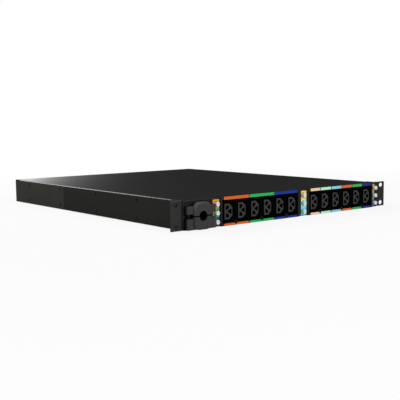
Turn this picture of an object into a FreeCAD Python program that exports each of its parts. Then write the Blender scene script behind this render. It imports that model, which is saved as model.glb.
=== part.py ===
import FreeCAD, Part
import os
import re
import Sketcher

# Rack power distribution unit, one rack unit high, in millimetres.
# The origin is the centre of the four rack holes on the mounting face of the ears.
# X runs to the right seen from the front, Y runs to the rear and Z runs up.

# Driving dimensions: name, value, meaning.
SIZES = [
    ("rack_width", 482.6, "width over both ears"),
    ("ear_height", 43.7, "height of an ear"),
    ("ear_sheet", 2.0, "sheet thickness of an ear"),
    ("ear_reach", 21.3, "how far an ear reaches beyond the body"),
    ("ear_leg", 22.0, "length of the ear's leg along the side wall"),
    ("ear_leg_trim", 0.6, "how much lower the leg is than the flange, top and bottom"),
    ("ear_bend", 4.2, "outer radius of the ear's bend"),
    ("hole_inset", 8.75, "rack holes from an ear's outer edge"),
    ("hole_rise", 31.75, "rack holes, centre to centre upwards"),
    ("slot_long", 10.5, "length of a rack hole"),
    ("slot_wide", 7.0, "height of a rack hole"),
    ("ear_screw_back", 12.0, "ear screws behind the mounting face"),
    ("ear_screw_rise", 24.0, "ear screws, centre to centre upwards"),
    ("body_depth", 543.0, "depth from the panel's front to the rear"),
    ("body_height", 43.2, "height of the body"),
    ("body_drop", 0.35, "how far the body lies below the ears"),
    ("cover_sheet", 1.0, "sheet thickness of the cover"),
    ("cover_bend", 1.8, "outer radius of the cover's bends"),
    ("cover_lift", 0.4, "gap below the cover's sides"),
    ("tray_sheet", 1.2, "sheet thickness of the tray"),
    ("tray_gap", 0.1, "clearance between tray and cover"),
    ("panel_sheet", 1.5, "sheet thickness of the front panel"),
    ("lip_tall", 3.4, "height of the tray's lips behind the panel"),
    ("lip_inset", 8.0, "how far a lip stops short of the bank's ends"),
    ("side_screw_first", 116.5, "first pair of side screws behind the mounting face"),
    ("side_screw_end", 58.5, "last pair of side screws in front of the rear"),
    ("side_screw_rise", 28.0, "side screws of a pair, centre to centre"),
    ("screw_head", 2.7, "head radius of a side screw"),
    ("screw_head_tall", 1.1, "head height of a side screw"),
    ("screw_head_round", 0.7, "rounding of a side screw's head"),
    ("screw_shank", 1.5, "shank radius of a side screw"),
    ("screw_long", 5.0, "shank length of a cover screw"),
    ("ear_screw_long", 4.2, "shank length of an ear screw, flush with the tray's inside"),
    ("screw_room", 0.1, "clearance round a shank"),
    ("recess_long", 3.0, "length of the cross in a screw head"),
    ("recess_wide", 0.7, "width of that cross"),
    ("recess_deep", 0.7, "depth of that cross"),
    ("clamp_zone", 68.4, "room for clamp and breakers left of the left bank"),
    ("label_zone", 20.7, "room for the breakers between the banks"),
    ("end_zone", 16.1, "room for the breakers right of the right bank"),
    ("outlet_sink", 1.0, "outlet centres below the rack holes' centre line"),
    ("bezel_proud", 4.0, "how far a bezel stands in front of the panel"),
    ("bezel_side", 2.4, "width of a bezel's upright rims"),
    ("bezel_head", 4.8, "height of a bezel's upper rim"),
    ("bezel_foot", 3.7, "height of a bezel's lower rim"),
    ("bezel_over", 1.0, "how far a bezel stands above the cover"),
    ("bezel_lap", 7.0, "how far the bezel's lip laps back over the cover"),
    ("bezel_round", 0.3, "rounding of the bezel's front edges"),
    ("module_gap", 0.1, "clearance round an outlet module's flange"),
    ("module_step", 1.0, "how far the module's face lies behind the bezel's"),
    ("module_wall", 1.3, "wall beside and above an outlet's recess"),
    ("module_deep", 22.0, "depth of a module behind the panel's front"),
    ("island_apart", 11.1, "space between two islands of a module"),
    ("island_tall", 24.5, "height of an outlet's island"),
    ("island_corner", 6.0, "chamfer of an island's two earth-side corners"),
    ("island_step", 0.5, "how far an island lies behind the module's face"),
    ("island_round", 0.6, "rounding of an island's front edge"),
    ("groove_wide", 2.75, "gap round an island"),
    ("groove_deep", 16.5, "depth of that gap below the module's face"),
    ("slot_blade", 4.4, "contact slot along the blade"),
    ("slot_thick", 2.4, "contact slot across the blade"),
    ("slot_deep", 13.0, "depth of a contact slot"),
    ("mouth_deep", 1.2, "depth of the funnel mouth round a slot"),
    ("mouth_margin", 0.9, "mouth beyond the outer edges of its slot"),
    ("mouth_side", 6.5, "width and height of a live slot's mouth"),
    ("mouth_cut", 3.4, "cut corner of that mouth towards the outlet's middle"),
    ("earth_mouth_tall", 7.8, "height of the earth slot's mouth at its wide end"),
    ("earth_mouth_flat", 1.6, "length of that wide end"),
    ("earth_mouth_tip", 2.6, "height of the same mouth at its narrow end"),
    ("earth_mouth_long", 7.2, "length of the same mouth"),
    ("mouth_taper", 45.0, "angle of the taper at a slot's mouth"),
    ("live_rise", 14.0, "live and neutral slots, centre to centre"),
    ("live_inset", 5.9, "live slots from the island's flat side"),
    ("earth_inset", 5.0, "earth slot from the island's other side"),
    ("lug_left", 4.4, "panel's screw lug in a module's notch, left of the screw"),
    ("lug_right", 1.9, "the same lug, right of the screw"),
    ("lug_tall", 4.6, "height of that lug"),
    ("lug_gap", 0.1, "clearance round the lug"),
    ("module_screw_up", 1.4, "module screw above the window's lower edge"),
    ("module_screw_head", 2.6, "head radius of a module screw"),
    ("module_screw_tall", 1.6, "head height of a module screw"),
    ("module_screw_round", 1.0, "rounding of a module screw's head"),
    ("module_screw_shank", 1.4, "shank radius of a module screw"),
    ("module_screw_room", 0.8, "room round a module screw's head in the bezel"),
    ("band_thick", 0.2, "thickness of a colour band"),
    ("band_gap", 1.6, "gap between two colour bands"),
    ("band_inset", 3.6, "outermost bands from the window's ends"),
    ("band_round", 2.2, "corner radius of a band's edge towards the outlets"),
    ("label_thick", 0.25, "thickness of a breaker label"),
    ("label_wide", 12.4, "width of the left and middle breaker labels"),
    ("label_narrow", 9.2, "width of the right breaker label"),
    ("label_gap", 0.2, "gap between a label and a bezel"),
    ("label_inset", 1.2, "label below the panel's upper edge and above its lower one"),
    ("breaker_left_out", 6.3, "left breakers from the left bank's bezel"),
    ("breaker_middle_out", 8.1, "middle breakers from the right bank's bezel"),
    ("breaker_right_out", 8.9, "right breakers from the right bank's bezel"),
    ("breaker_rise", 13.5, "breakers, centre to centre upwards"),
    ("breaker_sink", 1.6, "middle breakers below the rack holes' centre line"),
    ("breaker_wide", 9.4, "width of a breaker's case"),
    ("breaker_tall", 11.4, "height of a breaker's case"),
    ("breaker_deep", 30.0, "depth of a breaker's case"),
    ("neck_radius", 4.2, "outer radius of a breaker's neck"),
    ("neck_room", 0.1, "clearance round a neck"),
    ("button_radius", 3.4, "radius of a breaker's button"),
    ("button_room", 0.08, "running clearance round a button"),
    ("button_proud", 5.5, "how far a button stands in front of the panel"),
    ("button_stroke", 3.5, "how far a tripped button jumps out"),
    ("button_grip", 4.5, "length of a tripped button that stays behind the panel's front"),
    ("button_round", 0.9, "rounding of a button's front edge"),
    ("button_base_room", 1.0, "free room behind a button"),
    ("tab_wide", 4.8, "width of a terminal tab"),
    ("tab_thick", 0.8, "thickness of a terminal tab"),
    ("tab_long", 8.0, "length of a terminal tab"),
    ("clamp_inset", 28.0, "middle of the cord clamp from the body's left side"),
    ("clamp_sink", 1.7, "middle of the cord clamp below the rack holes' centre line"),
    ("clamp_half_wide", 15.8, "half the width of the clamp's middle block"),
    ("clamp_half_tall", 20.0, "half the height of that block"),
    ("clamp_corner", 9.0, "corner radius of that block"),
    ("clamp_proud", 12.5, "how far the block stands in front of the panel"),
    ("clamp_bore", 6.8, "radius of the cord hole"),
    ("clamp_bore_flare", 0.6, "chamfer at the mouth of the cord hole"),
    ("clamp_split", 2.0, "gap between the two halves at the cord"),
    ("clamp_ear_half", 27.2, "half the width over the clamp's screw ears"),
    ("clamp_ear_split", 7.0, "gap between upper and lower screw ears"),
    ("clamp_ear_upper", 11.4, "height of an upper screw ear"),
    ("clamp_ear_lower", 16.0, "height of a lower screw ear"),
    ("clamp_ear_back", 3.0, "how far the screw ears lie behind the block's front"),
    ("clamp_ear_round", 3.0, "rounding of a screw ear's front edge"),
    ("clamp_front_round", 1.2, "rounding of the block's front edge"),
    ("clamp_neck", 14.0, "outer radius of the clamp's neck in the panel"),
    ("clamp_neck_room", 0.2, "clearance round that neck"),
    ("clamp_neck_deep", 16.0, "length of the neck behind the panel's front"),
    ("clamp_screw_head", 3.3, "head radius of a clamp screw"),
    ("clamp_screw_tall", 3.5, "head height of a clamp screw"),
    ("clamp_screw_shank", 1.9, "shank radius of a clamp screw"),
    ("clamp_socket", 1.7, "corner radius of a clamp screw's socket"),
    ("clamp_socket_deep", 2.0, "depth of that socket"),
    ("clamp_screw_bite", 5.0, "thread length of a clamp screw in the lower half"),
    ("clamp_fix_head", 2.7, "head radius of the screws behind the panel"),
    ("clamp_fix_tall", 2.0, "head height of those screws"),
    ("clamp_fix_shank", 1.4, "shank radius of those screws"),
    ("clamp_fix_long", 6.0, "length of those screws in the lower half"),
    ("clamp_fix_out", 22.0, "those screws from the clamp's middle"),
    ("clamp_fix_down", 13.8, "those screws below the clamp's middle"),
    ("block_inset", 90.0, "middle of the input terminal block from the body's left side"),
    ("block_back", 84.0, "terminal block behind the mounting face"),
    ("block_wide", 84.0, "width of the terminal block"),
    ("block_deep", 30.0, "depth of the terminal block"),
    ("block_tall", 17.0, "height of the terminal block's floor"),
    ("block_rib", 3.0, "thickness of the terminal block's walls"),
    ("block_rib_tall", 8.0, "height of those walls above the floor"),
    ("pole_screw", 3.2, "radius of a terminal screw"),
    ("pole_screw_tall", 4.0, "height of a terminal screw"),
    ("pole_screw_span", 15.0, "terminal screws, front to rear"),
    ("bar_left_inset", 150.0, "left end of the bus bars from the body's left side"),
    ("bar_right_inset", 22.0, "right end of the bus bars from the body's right side"),
    ("bar_thick", 3.0, "thickness of a bus bar"),
    ("bar_tall", 12.0, "height of a bus bar"),
    ("bar_first_back", 66.0, "first bus bar behind the mounting face"),
    ("bar_pitch", 18.0, "bus bars, centre to centre"),
    ("bar_support_wide", 16.0, "width of a bus bar support"),
    ("bar_support_rim", 6.0, "support beyond the outer bars"),
    ("bar_support_floor", 6.0, "support below the bars"),
    ("bar_support_inset", 20.0, "supports from the bars' ends"),
    ("bar_slot_room", 0.1, "clearance beside a bus bar in its support"),
    ("stud_inset", 128.0, "earth stud from the body's left side"),
    ("stud_back", 46.0, "earth stud behind the mounting face"),
    ("stud_radius", 3.0, "radius of the earth stud"),
    ("stud_tall", 16.0, "height of the earth stud"),
    ("stud_nut", 5.5, "corner radius of the earth stud's nut"),
    ("stud_nut_tall", 5.0, "height of that nut"),
    ("stud_nut_room", 0.05, "clearance between nut and stud"),
]

NAMES = {name for name, value, meaning in SIZES}

# Sizes that follow from the table, so that the whole front fits any rack width.
DERIVED = {
    "body_width": "rack_width - 2 * ear_reach",
    "hole_span": "rack_width - 2 * hole_inset",
    "outlet_pitch": "(body_width - clamp_zone - label_zone - end_zone) / 12 - bezel_side / 3",
    "island_wide": "outlet_pitch - island_apart",
    "bank_half": "outlet_pitch * 3 + bezel_side",
    "bank_left_at": "clamp_zone + bank_half - body_width / 2",
    "bank_right_at": "body_width / 2 - end_zone - bank_half",
    "breaker_left_at": "bank_left_at - bank_half - breaker_left_out",
    "breaker_middle_at": "bank_right_at - bank_half - breaker_middle_out",
    "breaker_right_at": "bank_right_at + bank_half + breaker_right_out",
    "clamp_at": "clamp_inset - body_width / 2",
    "block_at": "block_inset - body_width / 2",
    "stud_at": "stud_inset - body_width / 2",
    "bar_left_at": "bar_left_inset - body_width / 2",
    "bar_long": "body_width - bar_left_inset - bar_right_inset",
    "side_screw_pitch": "(body_depth - ear_sheet - side_screw_first - side_screw_end) / 3",
}
BANKS = ("left", "right")
SIDES = {"left": -1, "right": 1}
MODULES_PER_BANK = 3
POLES = 4
BARS = 3
SIDE_SCREW_PAIRS = 4

# Planes and edges that several pieces share.
FRONT = "(-ear_sheet)"
PANEL_BACK = "(panel_sheet - ear_sheet)"
REAR = "(body_depth - ear_sheet)"
BOTTOM = "(-ear_height / 2 - body_drop)"
TOP = "(body_height - ear_height / 2 - body_drop)"
FLOOR = "(tray_sheet - ear_height / 2 - body_drop)"
CEILING = "(body_height - ear_height / 2 - body_drop - cover_sheet - tray_gap)"
TRAY_HALF = "(body_width / 2 - cover_sheet - tray_gap)"
BEZEL_FRONT = "(-ear_sheet - bezel_proud)"
BEZEL_HIGH = "(%s + bezel_over)" % TOP
WINDOW_LOW = "(%s + bezel_foot)" % BOTTOM
WINDOW_HIGH = "(%s - bezel_head)" % BEZEL_HIGH
OUTLET_LEVEL = "(-outlet_sink)"
MODULE_FACE = "(module_step - ear_sheet - bezel_proud)"
RECESS_WIDE = "(island_wide + 2 * groove_wide)"
RECESS_TALL = "(island_tall + 2 * groove_wide)"
RECESS_CORNER = "(island_corner + groove_wide * (2 - sqrt(2)))"
MODULE_HALF_WIDE = "(outlet_pitch / 2 + island_wide / 2 + groove_wide + module_wall)"
MODULE_HALF_TALL = "(island_tall / 2 + groove_wide + module_wall)"
SCREW_LEVEL = "(%s + module_screw_up)" % WINDOW_LOW
CLAMP_FRONT = "(-ear_sheet - clamp_proud)"
CLAMP_LEVEL = "(-clamp_sink)"
CLAMP_FIX_LEVEL = "(-clamp_sink - clamp_fix_down)"
CLAMP_EAR_FRONT = "(-ear_sheet - clamp_proud + clamp_ear_back)"

doc = FreeCAD.newDocument("rack_power_unit")
sheet = doc.addObject("Spreadsheet::Sheet", "sizes")
for row, (name, value, meaning) in enumerate(SIZES, start=1):
    sheet.set("A%d" % row, name)
    sheet.set("B%d" % row, str(value))
    sheet.set("C%d" % row, meaning)
    sheet.setAlias("B%d" % row, name)
doc.recompute()

nodes = []


def bound(text):
    """Write the sheet's name before each size in an expression, with derived sizes written out."""
    def written_out(match):
        word = match.group()
        if word in DERIVED:
            return "(%s)" % bound(DERIVED[word])
        return "sizes." + word if word in NAMES else word

    return re.sub(r"[a-z_]+", written_out, str(text))


def bind(thing, **properties):
    """Bind properties of a document object to expressions."""
    for name, text in properties.items():
        thing.setExpression(name, bound(text))


def place(thing, x, y, z):
    """Bind an object's position to three expressions."""
    for axis, text in zip("xyz", (x, y, z)):
        thing.setExpression("Placement.Base." + axis, bound(text))


def keep(thing, label):
    """Name a finished piece and list it for export."""
    thing.Label = label
    nodes.append(thing)
    return thing


def box(name, low, size):
    """A block from its low corner and its three sizes."""
    block = doc.addObject("Part::Box", name)
    bind(block, Length=size[0], Width=size[1], Height=size[2])
    place(block, *low)
    return block


TURNS = {
    "X": FreeCAD.Rotation(FreeCAD.Vector(0, 1, 0), 90),
    "Y": FreeCAD.Rotation(FreeCAD.Vector(1, 0, 0), -90),
    "-X": FreeCAD.Rotation(FreeCAD.Vector(0, 1, 0), -90),
    "-Y": FreeCAD.Rotation(FreeCAD.Vector(1, 0, 0), 90),
    "Z": FreeCAD.Rotation(),
}


def rod(name, way, start, radius, length):
    """A round bar from its start point along one axis."""
    bar = doc.addObject("Part::Cylinder", name)
    bar.Placement = FreeCAD.Placement(FreeCAD.Vector(), TURNS[way])
    bind(bar, Radius=radius, Height=length)
    place(bar, *start)
    return bar


def cone(name, way, start, radius, far_radius, length):
    """A round taper from its start point along one axis."""
    taper = doc.addObject("Part::Cone", name)
    taper.Placement = FreeCAD.Placement(FreeCAD.Vector(), TURNS[way])
    bind(taper, Radius1=radius, Radius2=far_radius, Height=length)
    place(taper, *start)
    return taper


def six_sided(name, start, radius, length):
    """A six-sided upright bar from its start point."""
    bar = doc.addObject("Part::Prism", name)
    bar.Polygon = 6
    bind(bar, Circumradius=radius, Height=length)
    place(bar, *start)
    return bar


def joined(name, pieces):
    """One solid from pieces that meet."""
    whole = doc.addObject("Part::MultiFuse", name)
    whole.Shapes = pieces
    whole.Refine = True
    return whole


def bundle(name, pieces):
    """Separate like solids in one node."""
    group = doc.addObject("Part::Compound", name)
    group.Links = pieces
    return group


def carved(name, base, tools):
    """A piece with other shapes cut out of it."""
    result = doc.addObject("Part::Cut", name)
    result.Base = base
    result.Tool = tools[0] if len(tools) == 1 else bundle(name + "_tools", tools)
    result.Refine = True
    return result


def common(name, base, limit):
    """What two pieces share."""
    result = doc.addObject("Part::Common", name)
    result.Base = base
    result.Tool = limit
    result.Refine = True
    return result


def edges_where(shape, test):
    """Names of the straight or round edges whose middle point passes a test."""
    names = []
    for number, edge in enumerate(shape.Edges, start=1):
        if test(edge, edge.BoundBox):
            names.append("Edge%d" % number)
    return names


def rounded(name, base, radius, test):
    """A piece with the edges that pass a test rounded."""
    doc.recompute()
    value = sheet.get(radius)
    result = doc.addObject("Part::Fillet", name)
    result.Base = base
    chosen = edges_where(base.Shape, test)
    result.Edges = [(int(edge[4:]), value, value) for edge in chosen]
    return result


def new_body(name):
    """An empty design body."""
    return doc.addObject("PartDesign::Body", name)


def sketch_on(body, name, role, level):
    """A sketch on one of the body's planes, moved along the plane's normal."""
    plane = next(part for part in body.Origin.OriginFeatures if part.Role == role)
    sketch = body.newObject("Sketcher::SketchObject", name)
    sketch.AttachmentSupport = (plane, [""])
    sketch.MapMode = "FlatFace"
    sketch.setExpression("AttachmentOffset.Base.z", bound(level))
    return sketch


def pin_point(sketch, geometry, point, across, up):
    """Hold one sketch point at two expressions from the sketch's origin."""
    for kind, text in (("DistanceX", across), ("DistanceY", up)):
        index = sketch.addConstraint(Sketcher.Constraint(kind, -1, 1, geometry, point, 1.0))
        sketch.setExpression("Constraints[%d]" % index, bound(text))


def draw_loop(sketch, corners):
    """A closed outline of straight lines through corners given as expressions."""
    count = len(corners)
    rough = [FreeCAD.Vector(1, 0, 0)] * count
    turn = FreeCAD.Rotation(FreeCAD.Vector(0, 0, 1), 360.0 / count)
    for number in range(1, count):
        rough[number] = turn.multVec(rough[number - 1])
    lines = []
    for number in range(count):
        line = Part.LineSegment(rough[number], rough[(number + 1) % count])
        lines.append(sketch.addGeometry(line, False))
    for number in range(count):
        follower = lines[(number + 1) % count]
        sketch.addConstraint(Sketcher.Constraint("Coincident", lines[number], 2, follower, 1))
    for line, (across, up) in zip(lines, corners):
        pin_point(sketch, line, 1, across, up)


def draw_ring(sketch, across, up, radius):
    """A circle given by expressions."""
    circle = Part.Circle(FreeCAD.Vector(0, 0, 0), FreeCAD.Vector(0, 0, 1), 1.0)
    ring = sketch.addGeometry(circle, False)
    pin_point(sketch, ring, 3, across, up)
    index = sketch.addConstraint(Sketcher.Constraint("Radius", ring, 1.0))
    sketch.setExpression("Constraints[%d]" % index, bound(radius))


def upright_sketch(body, name, depth, loops, rings):
    """Outlines in an upright plane across the unit, at a depth along Y."""
    sketch = sketch_on(body, name + "_sketch", "XZ_Plane", "-(%s)" % depth)
    for corners in loops:
        draw_loop(sketch, corners)
    for ring in rings:
        draw_ring(sketch, *ring)
    return sketch


def pad(body, name, front, back, loops, rings=()):
    """Add material between two depths along Y."""
    feature = body.newObject("PartDesign::Pad", name)
    feature.Profile = upright_sketch(body, name, back, loops, rings)
    bind(feature, Length="(%s) - (%s)" % (back, front))
    return feature


def pocket(body, name, front, back, loops, rings=()):
    """Take material away between two depths along Y."""
    feature = body.newObject("PartDesign::Pocket", name)
    feature.Profile = upright_sketch(body, name, front, loops, rings)
    bind(feature, Length="(%s) - (%s)" % (back, front))
    return feature


def side_holes(body, name, places, radius):
    """Round holes through both side walls at places given along Y and Z."""
    sketch = sketch_on(body, name + "_sketch", "YZ_Plane", "body_width")
    for back, up in places:
        draw_ring(sketch, back, up, radius)
    feature = body.newObject("PartDesign::Pocket", name)
    feature.Profile = sketch
    bind(feature, Length="2 * body_width")
    return feature


def rectangle(left, low, right, high):
    """Corners of a rectangle."""
    return [(left, low), (right, low), (right, high), (left, high)]


def round_edges(body, name, radius, test):
    """Round the body's edges that pass a test."""
    doc.recompute()
    tip = body.Tip
    feature = body.newObject("PartDesign::Fillet", name)
    feature.Base = (tip, edges_where(tip.Shape, test))
    bind(feature, Radius=radius)
    return feature


def value(text):
    """The present number of a size."""
    return float(sheet.get(text))


def extent(thing):
    """The box round an object as it stands."""
    doc.recompute()
    return thing.Shape.BoundBox


def near(one, other):
    """True for two lengths that agree."""
    return abs(one - other) < 1e-4


def side_screw_places():
    """Places of the side screws along Y and Z, the same on both sides."""
    places = []
    for pair in range(SIDE_SCREW_PAIRS):
        back = "side_screw_first + side_screw_pitch * %d" % pair
        places.append((back, "side_screw_rise / 2"))
        places.append((back, "-side_screw_rise / 2"))
    return places


def ear_screw_places():
    """Places of the ear screws along Y and Z, the same on both sides."""
    return [("ear_screw_back", "ear_screw_rise / 2"), ("ear_screw_back", "-ear_screw_rise / 2")]


def bank_at(bank):
    """Middle of a bank along X."""
    return "bank_%s_at" % bank


def module_at(bank, place_in_bank):
    """Middle of an outlet module along X."""
    steps = place_in_bank * 2 - (MODULES_PER_BANK - 1)
    return "(%s + outlet_pitch * %d)" % (bank_at(bank), steps)


def bank_ends(bank, inset):
    """Left and right end of a bank along X, moved inwards by an inset."""
    left = "(%s - bank_half + %s)" % (bank_at(bank), inset)
    right = "(%s + bank_half - %s)" % (bank_at(bank), inset)
    return left, right


# Folded tray: floor, both side walls, the rear wall and two low lips behind the panel.
def build_tray():
    body = new_body("tray")
    inner = "(%s - tray_sheet)" % TRAY_HALF
    section = [
        ("-" + TRAY_HALF, BOTTOM),
        (TRAY_HALF, BOTTOM),
        (TRAY_HALF, CEILING),
        (inner, CEILING),
        (inner, FLOOR),
        ("-" + inner, FLOOR),
        ("-" + inner, CEILING),
        ("-" + TRAY_HALF, CEILING),
    ]
    pad(body, "tray_walls", PANEL_BACK, REAR, [section])
    rear = rectangle("-" + TRAY_HALF, BOTTOM, TRAY_HALF, CEILING)
    pad(body, "tray_rear", "%s - tray_sheet" % REAR, REAR, [rear])
    lips = []
    for bank in BANKS:
        left, right = bank_ends(bank, "lip_inset")
        lips.append(rectangle(left, FLOOR, right, "%s + lip_tall" % FLOOR))
    pad(body, "tray_lips", PANEL_BACK, "%s + tray_sheet" % PANEL_BACK, lips)
    places = side_screw_places() + ear_screw_places()
    side_holes(body, "tray_holes", places, "screw_shank + screw_room")
    keep(body, "chassis_tray")


# Folded cover: the lid and both outer side walls, with rounded bends.
def build_cover():
    body = new_body("cover")
    low = "(%s + cover_lift)" % BOTTOM
    inner = "(body_width / 2 - cover_sheet)"
    under = "(%s - cover_sheet)" % TOP
    section = [
        ("-body_width / 2", low),
        ("-" + inner, low),
        ("-" + inner, under),
        (inner, under),
        (inner, low),
        ("body_width / 2", low),
        ("body_width / 2", TOP),
        ("-body_width / 2", TOP),
    ]
    pad(body, "cover_shell", FRONT, REAR, [section])
    whole = extent(body)
    round_edges(
        body, "cover_bends", "cover_bend",
        lambda edge, span: near(span.YLength, whole.YLength)
        and near(abs(span.XMin), whole.XMax)
        and near(span.ZMin, whole.ZMax),
    )
    places = side_screw_places() + ear_screw_places()
    side_holes(body, "cover_holes", places, "screw_shank + screw_room")
    keep(body, "top_cover")


# Front panel: a plate with the openings of everything it carries.
def build_panel():
    body = new_body("panel")
    plate = rectangle("-" + TRAY_HALF, BOTTOM, TRAY_HALF, CEILING)
    pad(body, "panel_plate", FRONT, PANEL_BACK, [plate])
    openings = []
    lug_holes = []
    for bank in BANKS:
        for number in range(MODULES_PER_BANK):
            middle = module_at(bank, number)
            half = "(%s + module_gap)" % MODULE_HALF_WIDE
            low = "(%s - %s - module_gap)" % (OUTLET_LEVEL, MODULE_HALF_TALL)
            high = "(%s + %s + module_gap)" % (OUTLET_LEVEL, MODULE_HALF_TALL)
            lug_top = "(%s + lug_tall / 2)" % SCREW_LEVEL
            openings.append([
                ("%s - %s" % (middle, half), low),
                ("%s - lug_left" % middle, low),
                ("%s - lug_left" % middle, lug_top),
                ("%s + lug_right" % middle, lug_top),
                ("%s + lug_right" % middle, low),
                ("%s + %s" % (middle, half), low),
                ("%s + %s" % (middle, half), high),
                ("%s - %s" % (middle, half), high),
            ])
            lug_holes.append((middle, SCREW_LEVEL, "module_screw_shank + screw_room"))
    pocket(body, "panel_openings", FRONT, PANEL_BACK, openings)
    holes = lug_holes
    for column in ("left", "middle", "right"):
        for step in (1, 0, -1):
            holes.append(("breaker_%s_at" % column, breaker_level(step), "neck_radius + neck_room"))
    holes.append(("clamp_at", CLAMP_LEVEL, "clamp_neck + clamp_neck_room"))
    for side in (-1, 1):
        across = "clamp_at + clamp_fix_out * %d" % side
        holes.append((across, CLAMP_FIX_LEVEL, "clamp_fix_shank + screw_room"))
    pocket(body, "panel_holes", FRONT, PANEL_BACK, [], holes)
    keep(body, "front_panel")


# Rack ears: folded brackets with two long holes, screwed to the side walls.
def build_ear(side_name):
    side = SIDES[side_name]
    body = new_body("ear_" + side_name)
    inner = "%d * body_width / 2" % side
    outer = "%d * rack_width / 2" % side
    flange = rectangle(inner, "-ear_height / 2", outer, "ear_height / 2")
    pad(body, "ear_flange_" + side_name, FRONT, "0", [flange])
    leg_outer = "%d * (body_width / 2 + ear_sheet)" % side
    leg = rectangle(inner, "-ear_height / 2", leg_outer, "ear_height / 2")
    pad(body, "ear_leg_" + side_name, "0", "ear_leg", [leg])
    whole = extent(body)
    bend = min(abs(whole.XMin), abs(whole.XMax))
    round_edges(
        body, "ear_bend_" + side_name, "ear_bend",
        lambda edge, span: near(span.ZLength, whole.ZLength)
        and near(abs(span.XMin), bend)
        and near(span.YMin, whole.YMin),
    )
    round_edges(
        body, "ear_inner_bend_" + side_name, "ear_bend - ear_sheet",
        lambda edge, span: near(span.ZLength, whole.ZLength)
        and near(abs(span.XMin), bend + value("ear_sheet"))
        and near(span.YMax, 0),
    )
    trims = [
        rectangle(inner, "ear_height / 2 - ear_leg_trim", leg_outer, "ear_height / 2"),
        rectangle(inner, "-ear_height / 2", leg_outer, "ear_leg_trim - ear_height / 2"),
    ]
    pocket(body, "ear_trims_" + side_name, "ear_bend - ear_sheet", "ear_leg", trims)
    straight = "(slot_long - slot_wide) / 2"
    middles = []
    ends = []
    for rise in (-1, 1):
        up = "hole_rise / 2 * %d" % rise
        middle = "hole_span / 2 * %d" % side
        low = "%s - slot_wide / 2" % up
        high = "%s + slot_wide / 2" % up
        middles.append(rectangle("%s - %s" % (middle, straight), low, "%s + %s" % (middle, straight), high))
        ends.append(("%s - %s" % (middle, straight), up, "slot_wide / 2"))
        ends.append(("%s + %s" % (middle, straight), up, "slot_wide / 2"))
    pocket(body, "ear_slot_middles_" + side_name, FRONT, "0", middles)
    for number in (0, 1):
        pocket(body, "ear_slot_ends_%s_%d" % (side_name, number), FRONT, "0", [], ends[number::2])
    side_holes(body, "ear_holes_" + side_name, ear_screw_places(), "screw_shank + screw_room")
    keep(body, "rack_ear_" + side_name)


def disc_face(disc, axis, side):
    """A test for the round edge at one end of a disc, the high end for a side of 1."""
    level = getattr(extent(disc), axis + {1: "Max", -1: "Min"}[side])

    def at_end(edge, reach):
        return near(getattr(reach, axis + "Min"), level) and near(getattr(reach, axis + "Max"), level)

    return at_end


def cross_recess(name, axis, start, spot):
    """The two crossed grooves in a screw head, from their low end along the screw's axis."""
    grooves = []
    for number, (one, other) in enumerate([("recess_long", "recess_wide"), ("recess_wide", "recess_long")]):
        near_end = "%s - %s / 2" % (spot[0], one)
        low_end = "%s - %s / 2" % (spot[1], other)
        corner = {"X": (start, near_end, low_end), "Y": (near_end, start, low_end)}[axis]
        size = {"X": ("recess_deep", one, other), "Y": (one, "recess_deep", other)}[axis]
        grooves.append(box("%s_groove_%d" % (name, number), corner, size))
    return grooves


def side_screw(name, side, out, back, up, long):
    """One screw through a side wall, its head outside."""
    inward = {-1: "X", 1: "-X"}[side]
    start = "%d * (%s)" % (side, out)
    head_start = "%d * (%s + screw_head_tall)" % (side, out)
    disc = rod(name + "_disc", inward, (head_start, back, up), "screw_head", "screw_head_tall")
    outside = disc_face(disc, "X", side)
    head = rounded(name + "_head", disc, "screw_head_round", outside)
    shank = rod(name + "_shank", inward, (start, back, up), "screw_shank", long)
    groove_start = {-1: head_start, 1: "%s - recess_deep" % head_start}[side]
    grooves = cross_recess(name, "X", groove_start, (back, up))
    return carved(name, joined(name + "_whole", [head, shank]), grooves)


# Screws of the cover and of the ears.
def build_side_screws():
    cover_screws = []
    ear_screws = []
    for side_name, side in SIDES.items():
        for number, (back, up) in enumerate(side_screw_places()):
            name = "cover_screw_%s_%d" % (side_name, number)
            cover_screws.append(side_screw(name, side, "body_width / 2", back, up, "screw_long"))
        for number, (back, up) in enumerate(ear_screw_places()):
            name = "ear_screw_%s_%d" % (side_name, number)
            out = "body_width / 2 + ear_sheet"
            ear_screws.append(side_screw(name, side, out, back, up, "ear_screw_long"))
    keep(bundle("cover_screw_set", cover_screws), "cover_screws")
    keep(bundle("ear_screw_set", ear_screws), "ear_screws")


# Bezel of a bank of outlets: a rim in front of the panel with a lip over the cover's edge.
def build_bezel(bank):
    body = new_body("bezel_" + bank)
    left, right = bank_ends(bank, "0")
    outside = rectangle(left, BOTTOM, right, BEZEL_HIGH)
    pad(body, "bezel_rim_" + bank, BEZEL_FRONT, FRONT, [outside])
    lip = rectangle(left, TOP, right, BEZEL_HIGH)
    pad(body, "bezel_lip_" + bank, FRONT, "%s + bezel_lap" % FRONT, [lip])
    front = -value("ear_sheet") - value("bezel_proud")
    round_edges(
        body, "bezel_edges_" + bank, "bezel_round",
        lambda edge, span: near(span.YMin, front) and near(span.YMax, front),
    )
    window = rectangle("%s + bezel_side" % left, WINDOW_LOW, "%s - bezel_side" % right, WINDOW_HIGH)
    pocket(body, "bezel_window_" + bank, BEZEL_FRONT, FRONT, [window])
    notches = []
    for number in range(MODULES_PER_BANK):
        notches.append((module_at(bank, number), SCREW_LEVEL, "module_screw_head + module_screw_room"))
    pocket(body, "bezel_notches_" + bank, BEZEL_FRONT, FRONT, [], notches)
    keep(body, "bank_bezel_" + bank)


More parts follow.
